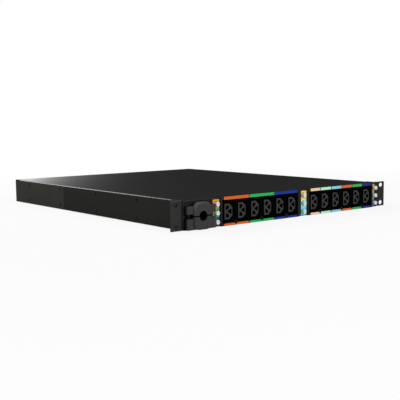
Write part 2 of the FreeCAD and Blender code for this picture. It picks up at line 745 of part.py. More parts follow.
def outlet_outline(middle, wide, tall, corner):
    """Outline of an outlet: flat on the left, two cut corners on the right."""
    left = "%s - %s / 2" % (middle, wide)
    right = "%s + %s / 2" % (middle, wide)
    low = "%s - %s / 2" % (OUTLET_LEVEL, tall)
    high = "%s + %s / 2" % (OUTLET_LEVEL, tall)
    return [
        (left, low),
        ("%s - %s" % (right, corner), low),
        (right, "%s + %s" % (low, corner)),
        (right, "%s - %s" % (high, corner)),
        ("%s - %s" % (right, corner), high),
        (left, high),
    ]


def contact_spots(middle):
    """Middles of an outlet's three contacts along X and Z: live, neutral and earth."""
    return [
        ("%s - island_wide / 2 + live_inset" % middle, "%s + live_rise / 2" % OUTLET_LEVEL),
        ("%s - island_wide / 2 + live_inset" % middle, "%s - live_rise / 2" % OUTLET_LEVEL),
        ("%s + island_wide / 2 - earth_inset" % middle, OUTLET_LEVEL),
    ]


def blade_slots(middle):
    """Outlines of an outlet's three contact slots."""
    outlines = []
    for across, up in contact_spots(middle):
        left = "%s - slot_blade / 2" % across
        right = "%s + slot_blade / 2" % across
        low = "%s - slot_thick / 2" % up
        high = "%s + slot_thick / 2" % up
        outlines.append(rectangle(left, low, right, high))
    return outlines


def slot_mouths(middle):
    """Outlines of the mouths round an outlet's slots, each one narrower towards the outlet's middle."""
    live, neutral, earth = contact_spots(middle)
    outlines = []
    for (across, up), side in ((live, 1), (neutral, -1)):
        left = "%s - slot_blade / 2 - mouth_margin" % across
        right = "%s + mouth_side" % left
        outer = "%s + %d * (slot_thick / 2 + mouth_margin)" % (up, side)
        inner = "%s - %d * mouth_side" % (outer, side)
        outlines.append([
            (left, outer),
            (right, outer),
            (right, "%s + %d * mouth_cut" % (inner, side)),
            ("%s - mouth_cut" % right, inner),
            (left, inner),
        ])
    across, up = earth
    right = "%s + slot_blade / 2 + mouth_margin" % across
    bend = "%s - earth_mouth_flat" % right
    tip = "%s - earth_mouth_long" % right
    outlines.append([
        (right, "%s - earth_mouth_tall / 2" % up),
        (right, "%s + earth_mouth_tall / 2" % up),
        (bend, "%s + earth_mouth_tall / 2" % up),
        (tip, "%s + earth_mouth_tip / 2" % up),
        (tip, "%s - earth_mouth_tip / 2" % up),
        (bend, "%s - earth_mouth_tall / 2" % up),
    ])
    return outlines


# Outlet module: one moulding with two outlets, a flange on the panel and a screw notch.
def build_module(number, bank, place_in_bank):
    name = "module_%d" % number
    middle = module_at(bank, place_in_bank)
    body = new_body(name)
    half_flange = "(outlet_pitch - module_gap)"
    low = "%s + module_gap" % WINDOW_LOW
    high = "%s - module_gap" % WINDOW_HIGH
    flange = rectangle("%s - %s" % (middle, half_flange), low, "%s + %s" % (middle, half_flange), high)
    pad(body, name + "_flange", MODULE_FACE, FRONT, [flange])
    back = "%s + module_deep" % FRONT
    left = "%s - %s" % (middle, MODULE_HALF_WIDE)
    right = "%s + %s" % (middle, MODULE_HALF_WIDE)
    body_low = "%s - %s" % (OUTLET_LEVEL, MODULE_HALF_TALL)
    body_high = "%s + %s" % (OUTLET_LEVEL, MODULE_HALF_TALL)
    notch_left = "%s - lug_left - lug_gap" % middle
    notch_right = "%s + lug_right + lug_gap" % middle
    notch_top = "%s + lug_tall / 2 + lug_gap" % SCREW_LEVEL
    case = [
        (left, body_low),
        (notch_left, body_low),
        (notch_left, notch_top),
        (notch_right, notch_top),
        (notch_right, body_low),
        (right, body_low),
        (right, body_high),
        (left, body_high),
    ]
    pad(body, name + "_case", FRONT, back, [case])
    outlets = ["(%s - outlet_pitch / 2)" % middle, "(%s + outlet_pitch / 2)" % middle]
    recesses = [outlet_outline(outlet, RECESS_WIDE, RECESS_TALL, RECESS_CORNER) for outlet in outlets]
    recess_floor = "%s + groove_deep" % MODULE_FACE
    pocket(body, name + "_recesses", MODULE_FACE, recess_floor, recesses)
    islands = [outlet_outline(outlet, "island_wide", "island_tall", "island_corner") for outlet in outlets]
    island_face = "%s + island_step" % MODULE_FACE
    pad(body, name + "_islands", island_face, recess_floor, islands)
    face = value("module_step") - value("ear_sheet") - value("bezel_proud") + value("island_step")
    round_edges(
        body, name + "_island_edges", "island_round",
        lambda edge, span: near(span.YMin, face) and near(span.YMax, face),
    )
    mouths = [mouth for outlet in outlets for mouth in slot_mouths(outlet)]
    tapers = pocket(body, name + "_mouths", island_face, "%s + mouth_deep" % island_face, mouths)
    bind(tapers, TaperAngle="-mouth_taper")
    slots = [slot for outlet in outlets for slot in blade_slots(outlet)]
    pocket(body, name + "_slots", island_face, "%s + slot_deep" % island_face, slots)
    hole = (middle, SCREW_LEVEL, "module_screw_shank + screw_room")
    pocket(body, name + "_hole", MODULE_FACE, FRONT, [], [hole])
    keep(body, "outlet_module_%d" % number)


# Screws of the outlet modules, through the flange into the panel's lug.
def build_module_screws():
    screws = []
    for bank in BANKS:
        for number in range(MODULES_PER_BANK):
            name = "module_screw_%s_%d" % (bank, number)
            middle = module_at(bank, number)
            head_front = "%s - module_screw_tall" % MODULE_FACE
            disc = rod(
                name + "_disc", "Y", (middle, head_front, SCREW_LEVEL),
                "module_screw_head", "module_screw_tall",
            )
            head = rounded(name + "_head", disc, "module_screw_round", disc_face(disc, "Y", -1))
            long = "%s - (%s)" % (PANEL_BACK, MODULE_FACE)
            shank = rod(
                name + "_shank", "Y", (middle, MODULE_FACE, SCREW_LEVEL),
                "module_screw_shank", long,
            )
            grooves = cross_recess(name, "Y", head_front, (middle, SCREW_LEVEL))
            screws.append(carved(name, joined(name + "_whole", [head, shank]), grooves))
    keep(bundle("module_screw_set", screws), "outlet_module_screws")


# Terminal tabs at the back of the outlets: one behind each contact slot.
def build_outlet_terminals():
    tabs = []
    back = "%s + module_deep" % FRONT
    for bank in BANKS:
        for number in range(MODULES_PER_BANK):
            middle = module_at(bank, number)
            for half in (-1, 1):
                outlet = "(%s + outlet_pitch / 2 * %d)" % (middle, half)
                for spot, (across, up) in enumerate(contact_spots(outlet)):
                    name = "outlet_tab_%s_%d_%d_%d" % (bank, number, half + 1, spot)
                    low = ("%s - tab_wide / 2" % across, back, "%s - tab_thick / 2" % up)
                    tabs.append(box(name, low, ("tab_wide", "tab_long", "tab_thick")))
    keep(bundle("outlet_tab_set", tabs), "outlet_terminals")


def band_bounds(bank, first, last):
    """Left and right end of a colour band over some of a bank's outlets."""
    start = "%s - outlet_pitch * 3" % bank_at(bank)
    left_gap = "band_inset" if first == 0 else "band_gap / 2"
    right_gap = "band_inset" if last == 2 * MODULES_PER_BANK else "band_gap / 2"
    left = "%s + outlet_pitch * %d + %s" % (start, first, left_gap)
    right = "%s + outlet_pitch * %d - %s" % (start, last, right_gap)
    return left, right


# Colour band of one circuit: one label above its outlets and one below them.
def build_band(number, bank, first, last):
    name = "band_%d" % number
    left, right = band_bounds(bank, first, last)
    wide = "(%s) - (%s)" % (right, left)
    front = "%s - band_thick" % BEZEL_FRONT
    top = box(name + "_top", (left, front, WINDOW_HIGH), (wide, "band_thick", "bezel_head - bezel_round"))
    low = (left, front, "%s + bezel_round" % BOTTOM)
    strip = box(name + "_strip", low, (wide, "band_thick", "bezel_foot - bezel_round"))
    brim = extent(strip).ZMax
    lower = rounded(
        name + "_lower", strip, "band_round",
        lambda edge, span: near(span.YLength, value("band_thick")) and near(span.ZMin, brim),
    )
    notches = []
    for place_in_bank in range(MODULES_PER_BANK):
        start = (module_at(bank, place_in_bank), front, SCREW_LEVEL)
        reach = "module_screw_head + module_screw_room"
        notches.append(rod("%s_notch_%d" % (name, place_in_bank), "Y", start, reach, "band_thick"))
    foot = carved(name + "_foot", lower, notches)
    keep(bundle(name + "_pair", [top, foot]), "colour_band_%d" % number)


def breaker_level(step):
    """Height of a breaker: one step up, level or one step down."""
    return "(breaker_rise * %d - breaker_sink)" % step


# Breaker label: a strip on the panel with a hole for each breaker's neck.
def build_label(column, left, wide):
    name = "label_" + column
    low = "%s + label_inset" % BOTTOM
    tall = "%s - (%s) - 2 * label_inset" % (CEILING, BOTTOM)
    front = "%s - label_thick" % FRONT
    strip = box(name + "_strip", (left, front, low), (wide, "label_thick", tall))
    holes = []
    for step in (1, 0, -1):
        start = ("breaker_%s_at" % column, front, breaker_level(step))
        reach = "neck_radius + neck_room"
        holes.append(rod("%s_hole_%d" % (name, step + 1), "Y", start, reach, "label_thick"))
    keep(carved(name, strip, holes), "breaker_label_" + column)


# Breaker: a case behind the panel with a neck that guides the button.
def build_breaker(number, column, step):
    name = "breaker_case_%d" % number
    across = "breaker_%s_at" % column
    up = breaker_level(step)
    case_low = ("%s - breaker_wide / 2" % across, PANEL_BACK, "%s - breaker_tall / 2" % up)
    case = box(name + "_block", case_low, ("breaker_wide", "breaker_deep", "breaker_tall"))
    neck_front = "%s - label_thick" % FRONT
    neck = rod(name + "_neck", "Y", (across, neck_front, up), "neck_radius", "panel_sheet + label_thick")
    whole = joined(name + "_whole", [case, neck])
    deep = "label_thick + button_stroke + button_grip + button_base_room"
    guide = rod(name + "_guide", "Y", (across, neck_front, up), "button_radius + button_room", deep)
    keep(carved(name, whole, [guide]), "breaker_%d" % number)


# Button of a breaker: a round cap with a softened front edge.
def build_button(number, column, step):
    name = "button_%d" % number
    front = "%s - button_proud" % FRONT
    start = ("breaker_%s_at" % column, front, breaker_level(step))
    long = "button_proud + button_stroke + button_grip"
    cap = rod(name + "_cap", "Y", start, "button_radius", long)
    edge = -value("ear_sheet") - value("button_proud")
    whole = rounded(
        name, cap, "button_round",
        lambda line, span: near(span.YMin, edge) and near(span.YMax, edge),
    )
    keep(whole, "breaker_button_%d" % number)


# Terminal tabs at the back of the breakers, two on each.
def build_breaker_terminals():
    tabs = []
    back = "%s + breaker_deep" % PANEL_BACK
    for column in ("left", "middle", "right"):
        for step in (1, 0, -1):
            for half in (-1, 1):
                name = "breaker_tab_%s_%d_%d" % (column, step + 1, half + 1)
                up = "%s + breaker_tall / 4 * %d - tab_thick / 2" % (breaker_level(step), half)
                low = ("breaker_%s_at - tab_wide / 2" % column, back, up)
                tabs.append(box(name, low, ("tab_wide", "tab_long", "tab_thick")))
    keep(bundle("breaker_tab_set", tabs), "breaker_terminals")


def clamp_half_shape(name, side):
    """Half of the cord clamp: half of the block, two screw ears and half of the neck."""
    plain = box(
        name + "_plain",
        ("clamp_at - clamp_half_wide", CLAMP_FRONT, "%s - clamp_half_tall" % CLAMP_LEVEL),
        ("2 * clamp_half_wide", "clamp_proud", "2 * clamp_half_tall"),
    )
    deep = value("clamp_proud")
    softened = rounded(
        name + "_softened", plain, "clamp_corner",
        lambda edge, span: near(span.YLength, deep),
    )
    front = extent(softened).YMin
    block = rounded(
        name + "_block", softened, "clamp_front_round",
        lambda edge, span: near(span.YMin, front) and near(span.YMax, front),
    )
    ear_tall = {1: "clamp_ear_upper", -1: "clamp_ear_lower"}[side]
    ear_low = {
        1: "%s + clamp_ear_split / 2" % CLAMP_LEVEL,
        -1: "%s - clamp_ear_split / 2 - clamp_ear_lower" % CLAMP_LEVEL,
    }[side]
    ear_block = box(
        name + "_ear_block",
        ("clamp_at - clamp_ear_half", CLAMP_EAR_FRONT, ear_low),
        ("2 * clamp_ear_half", "clamp_proud - clamp_ear_back", ear_tall),
    )
    ear_edge = extent(ear_block).YMin
    tall = value(ear_tall)
    ears = rounded(
        name + "_ears", ear_block, "clamp_ear_round",
        lambda edge, span: near(span.ZLength, tall) and near(span.YMin, ear_edge),
    )
    middle = ("clamp_at", FRONT, CLAMP_LEVEL)
    neck = rod(name + "_neck", "Y", middle, "clamp_neck", "clamp_neck_deep")
    whole = joined(name + "_whole", [block, neck])
    through = "clamp_proud + clamp_neck_deep"
    keep_low = {
        1: "%s + clamp_split / 2" % CLAMP_LEVEL,
        -1: "%s - clamp_half_tall - clamp_split / 2" % CLAMP_LEVEL,
    }[side]
    half_space = box(
        name + "_half_space",
        ("clamp_at - clamp_ear_half", CLAMP_FRONT, keep_low),
        ("2 * clamp_ear_half", through, "clamp_half_tall"),
    )
    half = common(name + "_turned", whole, half_space)
    solid = joined(name + "_solid", [half, ears])
    mouth = ("clamp_at", CLAMP_FRONT, CLAMP_LEVEL)
    bore = rod(name + "_bore", "Y", mouth, "clamp_bore", through)
    flare = cone(
        name + "_flare", "Y", mouth,
        "clamp_bore + clamp_bore_flare", "clamp_bore", "clamp_bore_flare",
    )
    return solid, [bore, flare]


def clamp_screw_spots():
    """Places of the two upright clamp screws along X and Y."""
    out = "(clamp_half_wide + clamp_ear_half) / 2"
    middle = "(%s + %s) / 2" % (FRONT, CLAMP_EAR_FRONT)
    return [("clamp_at + %s * %d" % (out, side), middle) for side in (-1, 1)]


# Cord clamp: two halves drawn together by two upright screws, the lower one fixed to the panel.
def build_clamp():
    upper, upper_cuts = clamp_half_shape("clamp_upper", 1)
    ear_low = "%s + clamp_ear_split / 2" % CLAMP_LEVEL
    ear_top = "%s + clamp_ear_upper" % ear_low
    head_low = "%s - clamp_screw_tall" % ear_top
    for number, (across, back) in enumerate(clamp_screw_spots()):
        hole = rod(
            "clamp_upper_hole_%d" % number, "Z", (across, back, ear_low),
            "clamp_screw_shank + screw_room", "clamp_ear_upper",
        )
        sink = rod(
            "clamp_upper_sink_%d" % number, "Z", (across, back, head_low),
            "clamp_screw_head + screw_room", "clamp_screw_tall",
        )
        upper_cuts += [hole, sink]
    keep(carved("clamp_upper", upper, upper_cuts), "clamp_upper_half")

    lower, lower_cuts = clamp_half_shape("clamp_lower", -1)
    bite_low = "%s - clamp_ear_split / 2 - clamp_screw_bite" % CLAMP_LEVEL
    for number, (across, back) in enumerate(clamp_screw_spots()):
        start = (across, back, bite_low)
        lower_cuts.append(rod(
            "clamp_lower_hole_%d" % number, "Z", start, "clamp_screw_shank + screw_room", "clamp_screw_bite",
        ))
    for side in (-1, 1):
        start = ("clamp_at + clamp_fix_out * %d" % side, FRONT, CLAMP_FIX_LEVEL)
        lower_cuts.append(rod(
            "clamp_lower_fix_%d" % (side + 1), "-Y", start, "clamp_fix_shank + screw_room", "clamp_fix_long",
        ))
    keep(carved("clamp_lower", lower, lower_cuts), "clamp_lower_half")

    screws = []
    for number, (across, back) in enumerate(clamp_screw_spots()):
        name = "clamp_screw_%d" % number
        head = rod(name + "_head", "Z", (across, back, head_low), "clamp_screw_head", "clamp_screw_tall")
        long = "%s - (%s)" % (head_low, bite_low)
        shank = rod(name + "_shank", "Z", (across, back, bite_low), "clamp_screw_shank", long)
        socket = six_sided(
            name + "_socket", (across, back, "%s - clamp_socket_deep" % ear_top),
            "clamp_socket", "clamp_socket_deep",
        )
        screws.append(carved(name, joined(name + "_whole", [head, shank]), [socket]))
    keep(bundle("clamp_screw_set", screws), "clamp_screws")

    fixings = []
    for side in (-1, 1):
        name = "clamp_fixing_%d" % (side + 1)
        spot = ("clamp_at + clamp_fix_out * %d" % side, PANEL_BACK, CLAMP_FIX_LEVEL)
        head = rod(name + "_head", "Y", spot, "clamp_fix_head", "clamp_fix_tall")
        shank = rod(name + "_shank", "-Y", spot, "clamp_fix_shank", "panel_sheet + clamp_fix_long")
        fixings.append(joined(name, [head, shank]))
    keep(bundle("clamp_fixing_set", fixings), "clamp_fixing_screws")


# Input terminal block on the tray's floor: one chamber for each conductor.
def build_terminal_block():
    left = "block_at - block_wide / 2"
    front = "block_back - block_deep / 2"
    floor = box("block_floor", (left, front, FLOOR), ("block_wide", "block_deep", "block_tall"))
    ribs = []
    pitch = "(block_wide - block_rib) / %d" % POLES
    for number in range(POLES + 1):
        low = ("%s + %s * %d" % (left, pitch, number), front, FLOOR)
        tall = "block_tall + block_rib_tall"
        ribs.append(box("block_rib_%d" % number, low, ("block_rib", "block_deep", tall)))
    keep(joined("block", [floor] + ribs), "input_terminal_block")
    screws = []
    for number in range(POLES):
        across = "%s + block_rib / 2 + %s * (%d + 1 / 2)" % (left, pitch, number)
        for half in (-1, 1):
            back = "block_back + pole_screw_span / 2 * %d" % half
            start = (across, back, "%s + block_tall" % FLOOR)
            name = "pole_screw_%d_%d" % (number, half + 1)
            screws.append(rod(name, "Z", start, "pole_screw", "pole_screw_tall"))
    keep(bundle("pole_screw_set", screws), "terminal_block_screws")


def bar_back(number):
    """Front face of a bus bar along Y."""
    return "bar_first_back + bar_pitch * %d - bar_thick / 2" % number


# Bus bars behind the outlets, upright strips in two slotted supports.
def build_bus_bars():
    low = "%s + bar_support_floor" % FLOOR
    bars = []
    for number in range(BARS):
        start = ("bar_left_at", bar_back(number), low)
        bars.append(box("bar_%d" % number, start, ("bar_long", "bar_thick", "bar_tall")))
    keep(bundle("bar_set", bars), "bus_bars")
    supports = []
    deep = "bar_pitch * %d + bar_thick + 2 * bar_support_rim" % (BARS - 1)
    front = "bar_first_back - bar_thick / 2 - bar_support_rim"
    lefts = [
        "bar_left_at + bar_support_inset",
        "bar_left_at + bar_long - bar_support_inset - bar_support_wide",
    ]
    for end, left in enumerate(lefts):
        tall = "bar_support_floor + bar_tall"
        block = box("bar_support_%d_block" % end, (left, front, FLOOR), ("bar_support_wide", deep, tall))
        slots = []
        for number in range(BARS):
            start = (left, "%s - bar_slot_room" % bar_back(number), low)
            size = ("bar_support_wide", "bar_thick + 2 * bar_slot_room", "bar_tall")
            slots.append(box("bar_support_%d_slot_%d" % (end, number), start, size))
        supports.append(carved("bar_support_%d" % end, block, slots))
    keep(bundle("bar_support_set", supports), "bus_bar_supports")


# Earth stud on the tray's floor, with its nut.
def build_earth_stud():
    stud = rod("stud", "Z", ("stud_at", "stud_back", FLOOR), "stud_radius", "stud_tall")
    nut_block = six_sided("stud_nut_block", ("stud_at", "stud_back", FLOOR), "stud_nut", "stud_nut_tall")
    hole = rod(
        "stud_nut_hole", "Z", ("stud_at", "stud_back", FLOOR),
        "stud_radius + stud_nut_room", "stud_nut_tall",
    )
    nut = carved("stud_nut_piece", nut_block, [hole])
    keep(bundle("stud_set", [stud, nut]), "earth_stud")


build_tray()
build_cover()
build_panel()
for side_name in SIDES:
    build_ear(side_name)
build_side_screws()
for bank in BANKS:
    build_bezel(bank)
for number in range(len(BANKS) * MODULES_PER_BANK):
    build_module(number + 1, BANKS[number // MODULES_PER_BANK], number % MODULES_PER_BANK)
build_module_screws()
build_outlet_terminals()

# The left bank has two outlets on each circuit, the right bank has one.
CIRCUITS = [("left", first, first + 2) for first in (0, 2, 4)]
CIRCUITS += [("right", first, first + 1) for first in range(6)]
for number, (bank, first, last) in enumerate(CIRCUITS, start=1):
    build_band(number, bank, first, last)

LEFT_EDGE = "bank_left_at - bank_half - label_gap - label_wide"
MIDDLE_EDGE = "bank_right_at - bank_half - label_gap - label_wide"
RIGHT_EDGE = "bank_right_at + bank_half + label_gap"
build_label("left", LEFT_EDGE, "label_wide")
build_label("middle", MIDDLE_EDGE, "label_wide")
build_label("right", RIGHT_EDGE, "label_narrow")

BREAKERS = [(column, step) for column in ("left", "middle", "right") for step in (1, 0, -1)]
for number, (column, step) in enumerate(BREAKERS, start=1):
    build_breaker(number, column, step)
    build_button(number, column, step)
build_breaker_terminals()
build_clamp()
build_terminal_block()
build_bus_bars()
build_earth_stud()
doc.recompute()

faults = []
for thing in doc.Objects:
    if "Invalid" in thing.State or "Error" in thing.State:
        faults.append("%s: %s" % (thing.Name, thing.State))
for piece in nodes:
    shape = piece.Shape
    if shape.isNull() or not shape.isValid() or not shape.Solids:
        faults.append("%s has no valid solid" % piece.Label)
if faults:
    raise RuntimeError("; ".join(faults))

os.makedirs("parts", exist_ok=True)
for piece in nodes:
    piece.Shape.exportStep(os.path.join("parts", piece.Label + ".step"))
print("pieces:", len(nodes))
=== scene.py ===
"""Looks of a rack power distribution unit: finishes, printed numbers, studio and camera.

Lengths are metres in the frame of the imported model: X right, Y to the rear, Z up.
"""
from __future__ import annotations

import logging
import math
from dataclasses import dataclass, field
from enum import Enum
from functools import reduce
from typing import Optional, Union

import bpy
import numpy as np
from mathutils import Matrix, Vector


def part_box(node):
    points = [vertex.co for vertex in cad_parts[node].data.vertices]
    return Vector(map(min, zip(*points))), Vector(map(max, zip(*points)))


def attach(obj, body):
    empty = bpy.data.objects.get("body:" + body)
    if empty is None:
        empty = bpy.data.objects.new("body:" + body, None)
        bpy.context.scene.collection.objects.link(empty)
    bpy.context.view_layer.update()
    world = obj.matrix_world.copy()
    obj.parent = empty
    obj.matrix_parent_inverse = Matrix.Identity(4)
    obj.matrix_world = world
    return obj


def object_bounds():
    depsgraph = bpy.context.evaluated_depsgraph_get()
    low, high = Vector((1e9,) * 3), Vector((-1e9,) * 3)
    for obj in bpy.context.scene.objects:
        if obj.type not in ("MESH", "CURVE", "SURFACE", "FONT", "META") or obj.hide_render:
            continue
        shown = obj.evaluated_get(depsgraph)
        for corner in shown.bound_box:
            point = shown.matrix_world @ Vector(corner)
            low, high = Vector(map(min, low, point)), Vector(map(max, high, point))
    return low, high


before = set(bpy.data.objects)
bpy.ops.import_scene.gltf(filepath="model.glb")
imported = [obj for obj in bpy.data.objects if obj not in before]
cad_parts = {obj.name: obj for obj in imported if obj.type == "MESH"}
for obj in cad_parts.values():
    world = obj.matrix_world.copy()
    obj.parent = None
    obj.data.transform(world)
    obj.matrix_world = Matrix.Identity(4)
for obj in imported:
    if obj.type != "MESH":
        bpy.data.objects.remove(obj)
CAD_BOX = [list(corner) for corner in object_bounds()]

LOG = logging.getLogger("rack_power_unit")
MM = 0.001

Pair = tuple[float, float]
Triple = tuple[float, float, float]
Colour = Triple
Value = Union["Socket", float]

SRGB_KNEE, SRGB_SLOPE, SRGB_SHIFT, SRGB_POWER = 0.04045, 12.92, 0.055, 2.4
WHITE = (1.0, 1.0, 1.0, 1.0)
# Socket numbers of a Mix node that mixes colours.
MIX_SHARE, MIX_FIRST, MIX_SECOND, MIX_RESULT = 0, 6, 7, 2


def tint(red: int, green: int, blue: int) -> Colour:
    """Turn a colour as it is seen, 0 to 255, into scene-linear values.

    The sRGB curve is a straight line below its knee and a shifted power above it.

    Args:
        red: Red share.
        green: Green share.
        blue: Blue share.

    Returns:
        The three linear values.
    """
    seen = np.array((red, green, blue)) / 255.0
    power = ((seen + SRGB_SHIFT) / (1.0 + SRGB_SHIFT)) ** SRGB_POWER
    linear = np.where(seen <= SRGB_KNEE, seen / SRGB_SLOPE, power)
    return tuple(float(share) for share in linear)


def opaque(colour: Colour) -> tuple[float, float, float, float]:
    """Give a colour its full alpha."""
    return (*colour, 1.0)


def scaled(colour: Colour, share: float) -> Colour:
    """Make a colour darker or lighter by a share."""
    return tuple(min(1.0, part * share) for part in colour)


class Socket:
    """A shader value: an expression on it adds the Math nodes that work it out."""

    def __init__(self, nodes: Nodes, link: bpy.types.NodeSocket) -> None:
        """Wrap one output socket of a node tree."""
        self.nodes = nodes
        self.link = link

    def __add__(self, other: Value) -> Socket:
        """Sum of two values."""
        return self.nodes.math("ADD", self, other)

    def __sub__(self, other: Value) -> Socket:
        """This value less another."""
        return self.nodes.math("SUBTRACT", self, other)

    def __rsub__(self, other: Value) -> Socket:
        """Another value less this one."""
        return self.nodes.math("SUBTRACT", other, self)

    def __mul__(self, other: Value) -> Socket:
        """Product of two values."""
        return self.nodes.math("MULTIPLY", self, other)

    def __truediv__(self, other: Value) -> Socket:
        """This value divided by another."""
        return self.nodes.math("DIVIDE", self, other)

    def __rtruediv__(self, other: Value) -> Socket:
        """Another value divided by this one."""
        return self.nodes.math("DIVIDE", other, self)

    def __gt__(self, other: Value) -> Socket:
        """One where this value is the larger, else zero."""
        return self.nodes.math("GREATER_THAN", self, other)

    def __lt__(self, other: Value) -> Socket:
        """One where this value is the smaller, else zero."""
        return self.nodes.math("LESS_THAN", self, other)

    def __abs__(self) -> Socket:
        """This value without its sign."""
        return self.nodes.math("ABSOLUTE", self)

    def larger(self, other: Value) -> Socket:
        """The larger of two values."""
        return self.nodes.math("MAXIMUM", self, other)

    def smaller(self, other: Value) -> Socket:
        """The smaller of two values."""
        return self.nodes.math("MINIMUM", self, other)

    def limited(self) -> Socket:
        """This value, kept from 0 to 1."""
        return self.larger(0.0).smaller(1.0)

    def varied(self, middle: float, spread: float) -> Socket:
        """A value that this share, 0.5 on average, spreads evenly about a middle."""
        return self * spread + (middle - spread / 2)

    __radd__ = __add__
    __rmul__ = __mul__


class Nodes:
    """One node tree: adds nodes, links them and works out values."""

    def __init__(self, tree: bpy.types.NodeTree) -> None:
        """Start with an empty tree."""
        self.tree = tree
        self.tree.nodes.clear()

    def node(
        self,
        kind: str,
        settings: Optional[dict[str, object]] = None,
        inputs: Optional[dict[Union[str, int], object]] = None,
    ) -> bpy.types.Node:
        """Add any node.

        Args:
            kind: Node type.
            settings: Node properties, set first.
            inputs: Values or links by socket name or number.

        Returns:
            The new node.
        """
        made = self.tree.nodes.new(kind)
        for key, setting in (settings or {}).items():
            setattr(made, key, setting)
        for key, given in (inputs or {}).items():
            self.feed(made.inputs[key], given)
        return made

    def feed(self, socket: bpy.types.NodeSocket, given: object) -> None:
        """Link a socket, or set its value.

        Args:
            socket: Socket that takes the value.
            given: A wrapped or plain socket to link, or a value to set.
        """
        if isinstance(given, Socket):
            self.tree.links.new(given.link, socket)
        elif isinstance(given, bpy.types.NodeSocket):
            self.tree.links.new(given, socket)
        else:
            socket.default_value = given

    def math(self, operation: str, first: Value, second: Value = 0.0) -> Socket:
        """Work out one operation on one or two values with a Math node.

        Args:
            operation: Name of the operation.
            first: First value.
            second: Second value, where the operation takes one.

        Returns:
            The result.
        """
        made = self.node("ShaderNodeMath", {"operation": operation}, {0: first, 1: second})
        return Socket(self, made.outputs[0])

    def background_rays(self) -> Socket:
        """Find the rays that show the background straight, by reflection or through glass.

        Returns:
            One for such a ray, else zero.
        """
        path = self.node("ShaderNodeLightPath")
        kinds = ("Is Camera Ray", "Is Glossy Ray", "Is Transmission Ray")
        straight, mirrored, through = (Socket(self, path.outputs[kind]) for kind in kinds)
        return (straight + mirrored + through).smaller(1.0)


class Shader(Nodes):
    """Node tree of one finish, ending in a Principled surface."""

    def __init__(self, name: str, specular: float = 0.5, coat_roughness: float = 0.1) -> None:
        """Start a material.

        Args:
            name: Name of the material.
            specular: Specular level of the surface, the same all over.
            coat_roughness: Roughness of its clear coat, the same all over.
        """
        self.material = bpy.data.materials.new(name)
        self.material.use_nodes = True
        super().__init__(self.material.node_tree)
        constants = {"Specular IOR Level": specular, "Coat Roughness": coat_roughness}
        self.surface = self.node("ShaderNodeBsdfPrincipled", inputs=constants)
        ends = {"Surface": self.surface.outputs[0]}
        self.output = self.node("ShaderNodeOutputMaterial", inputs=ends)
        self.place = self.node("ShaderNodeTexCoord").outputs["Object"]

    def axes(self) -> tuple[Socket, Socket, Socket]:
        """Give the object's X, Y and Z at each point."""
        split = self.node("ShaderNodeSeparateXYZ", inputs={0: self.place})
        return tuple(Socket(self, out) for out in split.outputs)

    def noise(self, grain: float, detail: float, stretch: Triple = (1.0, 1.0, 1.0)) -> Socket:
        """Even cloudy noise.

        Args:
            grain: Size of a cloud.
            detail: Number of finer layers.
            stretch: Factors on X, Y and Z, smaller along the way the clouds are drawn out.

        Returns:
            The noise, about 0.5 on average.
        """
        mapped = self.node("ShaderNodeMapping", inputs={"Vector": self.place, "Scale": stretch})
        sizes = {"Vector": mapped.outputs[0], "Scale": 1.0 / grain, "Detail": detail}
        return Socket(self, self.node("ShaderNodeTexNoise", inputs=sizes).outputs[0])

    def blend(
        self, share: Value, first: object, second: object, kind: str = "MIX",
    ) -> bpy.types.NodeSocket:
        """Mix two colours.

        Args:
            share: 0 for the first colour, 1 for the second.
            first: Colour or link.
            second: Colour or link.
            kind: Way in which the second colour is laid on the first.

        Returns:
            Link of the mixed colour.
        """
        settings = {"data_type": "RGBA", "blend_type": kind}
        inputs = {MIX_SHARE: share, MIX_FIRST: first, MIX_SECOND: second}
        return self.node("ShaderNodeMix", settings, inputs).outputs[MIX_RESULT]

    def shaded(self, share: Value, colour: Colour, shades: Pair) -> bpy.types.NodeSocket:
        """Mix a darker and a lighter shade of one colour.

        Args:
            share: 0 for the darker shade, 1 for the lighter.
            colour: The colour.
            shades: Factors that make both shades.

        Returns:
            Link of the mixed colour.
        """
        dark, light = (opaque(scaled(colour, shade)) for shade in shades)
        return self.blend(share, dark, light)

    def relief(self, height: Socket, depth: float, strength: float) -> None:
        """Bump the surface.

        Args:
            height: Height of the relief, 0 to 1.
            depth: Depth of the relief.
            strength: Share of the relief that shows.
        """
        sizes = {"Height": height, "Distance": depth, "Strength": strength}
        bump = self.node("ShaderNodeBump", inputs=sizes)
        self.feed(self.surface.inputs["Normal"], bump.outputs[0])

    def coat(self, colour: object, roughness: Value, metallic: float = 0.0) -> bpy.types.Material:
        """Give the surface its colour and gloss.

        Args:
            colour: Colour or link.
            roughness: Roughness, a value or an expression.
            metallic: Metallic share, the same all over.

        Returns:
            The finished material.
        """
        self.feed(self.surface.inputs["Base Color"], colour)
        self.feed(self.surface.inputs["Roughness"], roughness)
        self.feed(self.surface.inputs["Metallic"], metallic)
        return self.material


